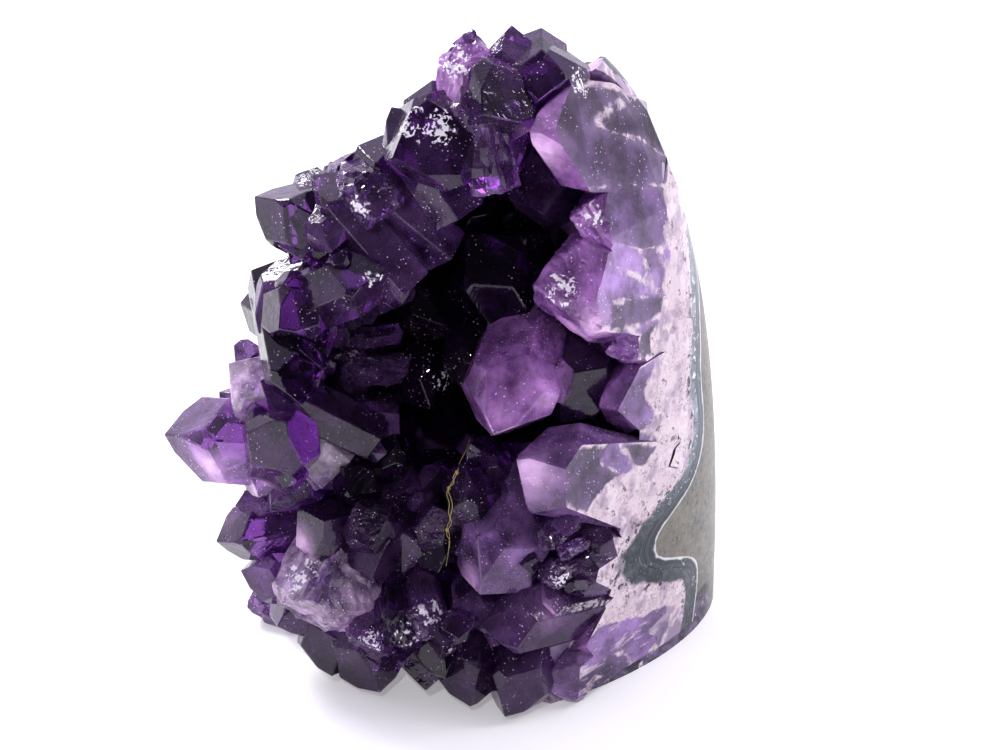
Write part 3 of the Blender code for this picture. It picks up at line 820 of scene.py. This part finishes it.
def grain(scale, detail=3, rough=0.55, kind="FBM", warp=0):
    place = here()
    return addNode("TexNoise", {"noise_type": kind}, {
        "Vector": place, "Scale": scale, "Detail": detail, "Roughness": rough, "Distortion": warp}).outputs[0]


def cells(scale, feature="F1", output="Distance", jitter=1, vector=None):
    place = vector or here()
    return addNode("TexVoronoi", {"feature": feature}, {
        "Vector": place, "Scale": scale, "Randomness": jitter}).outputs[output]


def spread(value, low, high, outLow=0, outHigh=1):
    return addNode("MapRange", None, {
        "Value": value, "From Min": low, "From Max": high,
        "To Min": outLow, "To Max": outHigh}).outputs["Result"]


def maths(operation, one, two=0, clamp=False):
    return addNode("Math", {"operation": operation, "use_clamp": clamp}, {0: one, 1: two}).outputs[0]


def plus(one, two, clamp=False):
    return maths("ADD", one, two, clamp)


def times(one, two):
    return maths("MULTIPLY", one, two)


def vectorMaths(operation, one, two, output="Value"):
    return addNode("VectorMath", {"operation": operation}, {0: one, 1: two}).outputs[output]


def scaled(vector, factor):
    return addNode("VectorMath", {"operation": "SCALE"}, {0: vector, "Scale": factor}).outputs[0]


def waver(scale, detail, reach):
    # A noise about 0
    return times(plus(grain(scale, detail), -0.5), reach)


def patches(scale, detail, low, high, outLow=0, outHigh=1, rough=0.55):
    # Patches of a noise, from where it passes one height to where it passes another
    return spread(grain(scale, detail, rough), low, high, outLow, outHigh)


def warped(scale, reach):
    # Object coordinates pushed about by a noise, so that cells get uneven sides
    place = here()
    push = addNode("TexNoise", None, {"Scale": scale, "Detail": 3, "Vector": place}).outputs["Color"]
    return vectorMaths("ADD", place, scaled(push, reach), 0)


def blend(share, one, two, mode="MIX"):
    made = addNode("Mix", {"data_type": "RGBA", "blend_type": mode})
    for index, value in ((0, share), (6, one), (7, two)):
        if isinstance(value, bpy.types.NodeSocket):
            tree.links.new(value, made.inputs[index])
        else:
            made.inputs[index].default_value = value if index == 0 else (*value, 1)
    return made.outputs[2]


def bump(height, strength, distance, normal=None):
    inputs = {"Height": height, "Strength": strength, "Distance": distance}
    if normal is not None:
        inputs["Normal"] = normal
    return addNode("Bump", None, inputs).outputs["Normal"]


def ramp(value, stops):
    made = addNode("ValToRGB", None, {"Fac": value})
    steps = made.color_ramp.elements
    while len(steps) < len(stops):
        steps.new(0.5)
    for step, (place, colour) in zip(steps, stops):
        step.position = place
        step.color = (*colour, 1)
    return made.outputs["Color"]


def wear(piece, look):
    piece.data.materials.clear()
    piece.data.materials.append(look)


def nearness(spots):
    # 1 at any of the spots, fading out to 0 at its radius
    place = here()
    best = None
    for spot, radius in spots:
        near = spread(vectorMaths("DISTANCE", place, spot), 0.25 * radius * mm, radius * mm, 1, 0)
        best = near if best is None else maths("MAXIMUM", best, near)
    return best


def crackled():
    # Pinkish white quartz, full of fine cracks, with greyish patches and small holes
    pushed = warped(380, 0.005)
    fine = cells(620, "DISTANCE_TO_EDGE", vector=pushed)
    lines = plus(spread(fine, 0, 0.05), patches(230, 3, 0.46, 0.60), True)
    body = blend(lines, (0.24, 0.17, 0.21), (0.74, 0.61, 0.67))
    body = blend(patches(190, 3, 0.50, 0.62, 0, 0.75), body, (0.36, 0.26, 0.38))
    chips = spread(cells(330, vector=pushed), 0.62, 0.78, 0, 0.6)
    body = blend(chips, body, (0.86, 0.78, 0.82))
    return blend(patches(520, 2, 0.63, 0.70, 0, 0.85), body, (0.14, 0.10, 0.12))


def axis(name):
    return addNode("SeparateXYZ", None, {0: here()}).outputs[name]


def lighter():
    # The agate is light at the middle of the flank, and dark where it hooks and at the top
    return times(spread(axis("Z"), 0.032, 0.050), spread(axis("Z"), 0.078, 0.092, 1, 0))


def whiteness(into):
    # 1 where the quartz near the agate is white: less of it low down and at the top
    less = plus(spread(axis("Z"), 0.006, 0.024, 9, -2), spread(axis("Z"), 0.100, 0.112, 0, 14))
    reach = plus(plus(into, less), waver(85, 4, 22))
    return spread(reach, 15.5, 14.5)


def streaks():
    # Low on the flank the quartz is streaked white along the points
    along = addNode("Mapping", {"vector_type": "TEXTURE"}, {
        "Vector": here(), "Rotation": (0, 0, math.radians(35)), "Scale": (6, 1, 1)}).outputs[0]
    drawn = addNode("TexNoise", None, {
        "Vector": along, "Scale": 420, "Detail": 4, "Roughness": 0.6}).outputs[0]
    return times(spread(drawn, 0.54, 0.62), spread(axis("Z"), 0.030, 0.022, 0, 0.8))


def skinned(into, body):
    # Next to the agate the quartz is blue-grey, darkest low down, with black flecks where it turns white
    skin = blend(patches(300, 3, 0.40, 0.62), (0.09, 0.115, 0.14), (0.27, 0.32, 0.37))
    skin = blend(patches(800, 2, 0.57, 0.66), skin, (0.80, 0.82, 0.85))
    low = blend(patches(420, 2, 0.40, 0.64), (0.028, 0.036, 0.046), (0.085, 0.105, 0.13))
    skin = blend(lighter(), low, skin)
    into = plus(into, waver(260, 4, 3))
    flecks = times(patches(600, 3, 0.55, 0.62), spread(into, 6.8, 5.8))
    body = blend(flecks, body, (0.05, 0.055, 0.07))
    return blend(spread(into, 4.6, 5.2), skin, body)


def amethystLook(paintedGlow, glitter):
    look = newLook("amethyst", {"IOR": 1.544, "Roughness": 0.03, "Specular IOR Level": 0.38})
    tint = addNode("Attribute", {"attribute_name": "tint"})
    milk, rim, along, into = tint.outputs["Alpha"], attribute("rim"), attribute("along"), attribute("into")
    # Colour zones, clouds, thin veils and cracks inside the quartz
    zones = patches(95, 2, 0.3, 0.7, 0.62, 1.35)
    cloud = patches(170, 4, 0.38, 0.68, rough=0.62)
    veils = spread(grain(260, 4, 0.62, "RIDGED_MULTIFRACTAL"), 1.15, 1.7)
    share = times(milk, plus(cloud, 0.45))
    share = plus(share, times(veils, times(milk, 0.6)))
    # Painted glow: some ends are painted paler and milkier, most on the faces turned the way light comes out
    # through them
    paintedGlowShare = times(nearness(paintedGlow), patches(210, 3, 0.3, 0.55, 0.55, 1))
    under = vectorMaths("DOT_PRODUCT", addNode("NewGeometry").outputs["True Normal"], paintedGlowWay)
    paintedGlowShare = times(paintedGlowShare, spread(under, 0, 0.4, 0.3, 1))
    share = plus(share, times(paintedGlowShare, 0.60))
    # Painted glints: white chips painted on broken places at the glitter spots, standing in for glints of
    # light, and fine white specks all over, partly dust and partly painted sparkle
    flake = addNode("SeparateColor", None, {
        "Color": cells(1500, "F1", "Color", vector=warped(700, 0.002))})
    chips = plus(nearness(glitter), times(flake.outputs[0], -1))
    chips = times(spread(chips, 0.22, 0.26), patches(420, 4, 0.46, 0.52, rough=0.65))
    dots = spread(cells(1150), 0.12, 0.17, 1, 0)
    dots = times(dots, patches(150, 3, 0.42, 0.58))
    white = plus(chips, times(dots, 0.8), True)
    body = scaled(tint.outputs["Color"], zones)
    body = blend(times(veils, 0.20), body, (0.76, 0.58, 0.88))
    patchy = times(spread(milk, 0.36, 0.44, 0, 0.8), spread(milk, 0.60, 0.50))
    patchy = times(patchy, patches(115, 4, 0.50, 0.60, rough=0.62))
    body = blend(patchy, body, (0.26, 0.12, 0.42))
    # On the polish: paler towards the rim of each point, white between them and next to the agate
    ragged = plus(rim, waver(330, 4, 0.38))
    body = blend(spread(ragged, 0.60, 0.98, 0, 0.35), body, (0.46, 0.34, 0.54))
    edging = spread(ragged, 0.93, 1)
    streaked = times(streaks(), spread(into, 52, 45))
    quartz = plus(plus(edging, whiteness(into), True), streaked, True)
    body = blend(quartz, body, crackled())
    body = skinned(into, body)
    # Painted glow: the glowing ends are lightened to pink-white
    body = blend(times(paintedGlowShare, 0.9), body, (0.97, 0.64, 0.99))
    # Painted glints and white specks go over the body
    body = blend(white, body, (0.95, 0.92, 0.97))
    share = plus(plus(share, white), times(quartz, 0.5), True)
    feed("Base Color", body)
    feed("Transmission Weight", maths("SUBTRACT", 1, share, True))
    frost = patches(190, 3, 0.48, 0.72, 0.012, 0.20, rough=0.6)
    feed("Roughness", plus(frost, times(quartz, 0.08)))
    # Growth lines across the sides, low hillocks on the end faces, and fine pits
    lines = maths("SINE", plus(times(along, 170), times(grain(90, 2), 36)))
    growth = bump(lines, patches(120, 2, 0.46, 0.66, 0, 0.12), 0.00012)
    steps = bump(cells(420, "F1", "Distance"), 0.13, 0.0004, growth)
    feed("Normal", bump(grain(1400, 1), 0.10, 0.0003, steps))
    inside = addNode("VolumeAbsorption", None, {"Color": (0.60, 0.30, 0.70, 1), "Density": 100})
    tree.links.new(inside.outputs["Volume"], tree.nodes["Material Output"].inputs["Volume"])
    return look


def quartzLook():
    look = newLook("milky_quartz", {"IOR": 1.544})
    polish, into = attribute("polish"), attribute("into")
    pushed = warped(140, 0.006)
    large = cells(135, "DISTANCE_TO_EDGE", vector=pushed)
    tone = cells(135, "F1", "Color", vector=pushed)
    pick = addNode("SeparateColor", None, {"Color": tone}).outputs[0]
    core = blend(spread(pick, 0.25, 0.75), (0.14, 0.085, 0.21), (0.46, 0.35, 0.48))
    core = blend(patches(240, 4, 0.35, 0.65, 0, 0.6), core, (0.36, 0.27, 0.42))
    milky = crackled()
    core = blend(spread(large, 0.02, 0.10), milky, core)
    body = skinned(into, blend(whiteness(into), core, milky))
    # Behind the points it is pale towards the flank, and painted dark in the hollow as painted shade
    dark = blend(patches(200, 3, 0.35, 0.7), (0.035, 0.012, 0.06), (0.16, 0.08, 0.22))
    dark = blend(spread(axis("X"), 0.000, 0.016), dark, (0.60, 0.42, 0.70))
    feed("Base Color", blend(polish, dark, body))
    feed("Roughness", spread(polish, 0, 1, 0.3, 0.16))
    rough = bump(cells(500), spread(polish, 0, 1, 0.7, 0.05), 0.0006)
    feed("Normal", bump(grain(900, 3), 0.12, 0.0003, rough))
    return look


def agateLook():
    look = newLook("agate", {"IOR": 1.54, "Roughness": 0.12, "Specular IOR Level": 0.25})
    sway = waver(260, 3, 1.1)
    across = maths("DIVIDE", plus(attribute("into"), sway), 3.2)
    bands = ramp(across, (
        (0, (0.80, 0.80, 0.78)), (0.09, (0.72, 0.73, 0.72)), (0.16, (0.10, 0.12, 0.135)),
        (0.3, (0.05, 0.062, 0.075)), (0.5, (0.12, 0.15, 0.175)), (0.66, (0.05, 0.065, 0.08)),
        (0.82, (0.13, 0.16, 0.185)), (1, (0.07, 0.09, 0.11))))
    fine = maths("SINE", times(across, 46))
    bands = blend(spread(fine, -1, 1, 0, 0.22), bands, (0.36, 0.41, 0.46))
    flecks = times(spread(grain(700, 3, warp=0.5), 0.58, 0.66), patches(90, 3, 0.45, 0.6))
    bands = blend(flecks, bands, (0.82, 0.84, 0.86))
    bands = blend(plus(lighter(), spread(across, 0.16, 0.10), True), scaled(bands, 0.55), bands)
    raw = blend(patches(420, 5, 0.35, 0.65, rough=0.65), (0.10, 0.11, 0.115), (0.34, 0.34, 0.32))
    feed("Base Color", blend(attribute("polish"), raw, bands))
    feed("Roughness", spread(attribute("polish"), 0, 1, 0.6, 0.1))
    feed("Normal", bump(grain(800), 0.1, 0.0003))
    return look


def basaltLook():
    look = newLook("basalt", {"IOR": 1.5, "Roughness": 0.6, "Specular IOR Level": 0.3})
    polish = attribute("polish")
    mottle = patches(70, 4, 0.35, 0.65)
    cut = blend(mottle, (0.22, 0.205, 0.165), (0.12, 0.125, 0.12))
    cut = blend(patches(700, 5, 0.42, 0.62, 0, 0.55, rough=0.7), cut, (0.31, 0.295, 0.25))
    cut = blend(patches(950, 4, 0.57, 0.66, 0, 0.75, rough=0.6), cut, (0.06, 0.062, 0.058))
    scratches = spread(grain(60, 6, 0.7, "RIDGED_MULTIFRACTAL", 0.3), 1.25, 1.7, 0, 0.5)
    cut = blend(scratches, cut, (0.56, 0.55, 0.50))
    cut = blend(patches(260, 3, 0.62, 0.70, 0, 0.5), cut, (0.30, 0.33, 0.20))
    # Along the base the cut runs through dark quartz
    quartz = spread(grain(120, 4, 0.6, warp=1.5), 0.42, 0.62)
    quartz = blend(quartz, (0.045, 0.04, 0.06), (0.26, 0.19, 0.34))
    quartz = blend(patches(330, 4, 0.60, 0.68, rough=0.6), quartz, (0.80, 0.72, 0.82))
    edge = plus(axis("Z"), waver(110, 4, 0.008))
    along = plus(axis("Y"), waver(110, 4, 0.006))
    ahead = times(spread(edge, 0.0095, 0.0085), spread(along, 0.007, 0.005))
    cut = blend(ahead, cut, quartz)
    rust = patches(45, 5, 0.52, 0.68, 0, 0.6, rough=0.65)
    green = spread(grain(60, 4, 0.6, warp=1), 0.55, 0.7, 0, 0.55)
    raw = blend(mottle, (0.085, 0.075, 0.066), (0.21, 0.19, 0.165))
    raw = blend(rust, raw, (0.21, 0.115, 0.06))
    raw = blend(green, raw, (0.085, 0.12, 0.095))
    raw = blend(patches(380, 6, 0.50, 0.66, 0, 0.75, rough=0.75), raw, (0.34, 0.31, 0.27))
    holes = spread(cells(330, vector=warped(260, 0.006)), 0.10, 0.26)
    holes = plus(holes, patches(75, 3, 0.48, 0.58), True)
    raw = blend(holes, (0.04, 0.035, 0.03), raw)
    filled = times(spread(cells(150, vector=warped(120, 0.008)), 0.12, 0.17, 1, 0),
                   patches(60, 3, 0.5, 0.56))
    raw = blend(filled, raw, (0.50, 0.52, 0.48))
    feed("Base Color", blend(polish, raw, cut))
    feed("Roughness", spread(polish, 0, 1, 0.9, 0.35))
    depth = bump(holes, spread(polish, 0, 1, 0.8, 0), 0.0012)
    depth = bump(grain(420, 7, 0.7), spread(polish, 0, 1, 1, 0.05), 0.0022, depth)
    feed("Normal", bump(grain(2400, 2), 0.25, 0.0003, depth))
    return look


# Where the painted glow and the painted glints go: the place in the picture and a radius
spots = {
    "paintedGlow": (
        (541, 150, 7), (546, 396, 7), (505, 418, 5), (530, 472, 8), (600, 330, 6), (575, 330, 5),
        (213, 468, 6.5), (238, 375, 7), (300, 545, 6), (350, 160, 4), (262, 490, 4), (470, 580, 5),
        (545, 610, 6), (585, 205, 4), (455, 90, 4), (230, 520, 5),
    ),
    "glitter": (
        (455, 60, 5), (412, 124, 5), (440, 128, 4.5), (580, 82, 4), (360, 208, 3.5), (375, 278, 3),
        (372, 640, 4), (408, 632, 4), (430, 610, 4.5), (300, 575, 6), (443, 380, 3.5), (562, 290, 4.5),
        (560, 575, 3), (450, 650, 1.5), (590, 215, 4),
    ),
}
# The dry fibre, stretched over what lies under its places as the camera sees them
fibre = {
    "strands": (
        ((470, 439), (467, 449), (462, 458), (459, 464), (458, 471), (455, 478), (450, 485), (448, 491),
         (451, 498), (453, 507), (450, 516), (452, 523), (448, 529), (446, 535), (451, 541), (449, 549)),
        ((458, 470), (452, 476), (455, 483), (449, 487), (446, 494), (450, 503), (448, 512), (451, 520),
         (446, 527), (450, 534), (449, 545), (448, 556), (446, 566)),
    ),
    "knots": ((457, 472), (449, 488), (447, 530)),
    "radius": 0.11, "knot": 0.38, "lift": 0.3, "colour": (0.66, 0.58, 0.24),
}
# The way of the light that the painted glow on the ends stands for
paintedGlowWay = Vector((-0.55, -0.2, -0.8)).normalized()
# The camera, and the picture's middle and focal length in its own pixels
view = {
    "eye": Vector((0.0, -0.37749, 0.24412)), "tilt": math.radians(64.0), "lens": 75.6, "sensor": 36.0,
    "middle": (500.0, 375.0), "focal": 2100.0,
}
eye = view["eye"]


def pixelWay(x, y):
    right, down = (place - middle for place, middle in zip((x, y), view["middle"]))
    way = Vector((right / view["focal"], -down / view["focal"], -1.0))
    return (Matrix.Rotation(view["tilt"], 3, "X") @ way).normalized()


def seen(way):
    # How far from the camera the points are that way
    return faces.ray_cast(eye, way)[3] or 0.42


def laidOver(pixels):
    ways = [pixelWay(*pixel) for pixel in pixels]
    reach = [seen(way) - fibre["lift"] * mm for way in ways]
    far = list(reach)
    for _ in range(12):
        for i in range(1, len(far) - 1):
            far[i] = min(reach[i], 0.5 * (far[i - 1] + far[i + 1]))
    return [eye + way * distance for way, distance in zip(ways, far)]


def found(places):
    return [(eye + pixelWay(x, y) * seen(pixelWay(x, y)), radius) for x, y, radius in places]


faces = BVHTree.FromObject(amethyst, bpy.context.evaluated_depsgraph_get())
wear(rock, basaltLook())
wear(agate, agateLook())
wear(bed, quartzLook())
wear(amethyst, amethystLook(found(spots["paintedGlow"]), found(spots["glitter"])))
print("looks")


def makeFibre():
    line = bpy.data.curves.new("dry_fibre", "CURVE")
    line.dimensions = "3D"
    line.bevel_depth = fibre["radius"] * mm
    line.bevel_resolution = 2
    line.use_fill_caps = True
    for strand in fibre["strands"]:
        laid = laidOver(strand)
        run = line.splines.new("NURBS")
        run.points.add(len(laid) - 1)
        run.use_endpoint_u = True
        run.order_u = 3
        for index, place in enumerate(laid):
            run.points[index].co = (*place, 1.0)
            run.points[index].radius = 1.0 - 0.5 * index / len(laid)
    curve = putObject("fibreLine", line)
    data = bpy.data.meshes.new_from_object(curve.evaluated_get(bpy.context.evaluated_depsgraph_get()))
    bpy.data.objects.remove(curve, do_unlink=True)
    mesh = bmesh.new()
    mesh.from_mesh(data)
    for place in laidOver(fibre["knots"]):
        knot = bmesh.ops.create_icosphere(mesh, subdivisions=2, radius=fibre["knot"] * mm)["verts"]
        for vert in knot:
            vert.co = place + vert.co * (1.0 + 0.5 * noise.noise(vert.co * 3000.0))
    mesh.to_mesh(data)
    mesh.free()
    piece = putObject("dry_fibre", data)
    wear(piece, newLook("dry_fibre", {"Roughness": 0.6}))
    feed("Base Color", blend(grain(500.0), fibre["colour"], (0.40, 0.32, 0.11)))
    return piece


dryFibre = makeFibre()
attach(dryFibre, "root")

floor = putObject("floor", bpy.data.meshes.new("floor"))
mesh = bmesh.new()
bmesh.ops.create_grid(mesh, x_segments=1, y_segments=1, size=4.0)
mesh.to_mesh(floor.data)
mesh.free()
wear(floor, newLook("floor", {
    "Base Color": (0.93, 0.93, 0.93, 1.0), "Roughness": 0.7, "Specular IOR Level": 0.2,
    "Emission Color": (1.0, 1.0, 1.0, 1.0), "Emission Strength": 0.22}))

studio = {
    "bright": 1.1, "brightHue": (0.91, 0.87, 1.0), "dark": 0.045, "darkHue": (0.80, 0.70, 1.0),
    "darkWay": Vector((0.1, -0.85, 0.35)), "darkEdge": (-0.1, 0.75), "aim": Vector((0.0, 0.0, 0.06)),
    "lamps": (
        # place, size, power
        ((-0.55, 0.45, 0.75), 0.35, 5.0),
        ((0.65, 0.10, 0.55), 0.30, 1.4),
        ((-0.12, -0.62, 0.62), 0.025, 1.0),
    ),
}


def lightStudio():
    global tree
    world = bpy.data.worlds.new("studio")
    scene.world = world
    world.use_nodes = True
    tree = world.node_tree
    way = addNode("TexCoord").outputs["Generated"]
    toward = vectorMaths("DOT_PRODUCT", way, studio["darkWay"].normalized())
    strength = spread(toward, *studio["darkEdge"], studio["bright"], studio["dark"])
    tree.links.new(strength, tree.nodes["Background"].inputs["Strength"])
    hue = blend(spread(toward, *studio["darkEdge"]), studio["brightHue"], studio["darkHue"])
    tree.links.new(hue, tree.nodes["Background"].inputs["Color"])
    for index, (place, size, power) in enumerate(studio["lamps"]):
        lamp = bpy.data.lights.new("lamp%d" % index, "AREA")
        lamp.size = size
        lamp.energy = power
        thing = putObject(lamp.name, lamp)
        thing.location = place
        thing.rotation_euler = (studio["aim"] - Vector(place)).to_track_quat("-Z", "Y").to_euler()


lightStudio()
camera = putObject("camera", bpy.data.cameras.new("camera"))
camera.location = eye
camera.rotation_euler = (view["tilt"], 0.0, 0.0)
camera.data.lens = view["lens"]
camera.data.sensor_width = view["sensor"]
scene.camera = camera
scene.cycles.max_bounces = 8
scene.cycles.diffuse_bounces = 2
scene.cycles.glossy_bounces = 3
scene.cycles.transmission_bounces = 8
scene.view_settings.view_transform = "Standard"
scene.view_settings.look = "Medium High Contrast"
scene.view_settings.exposure = 0.25
print("studio")
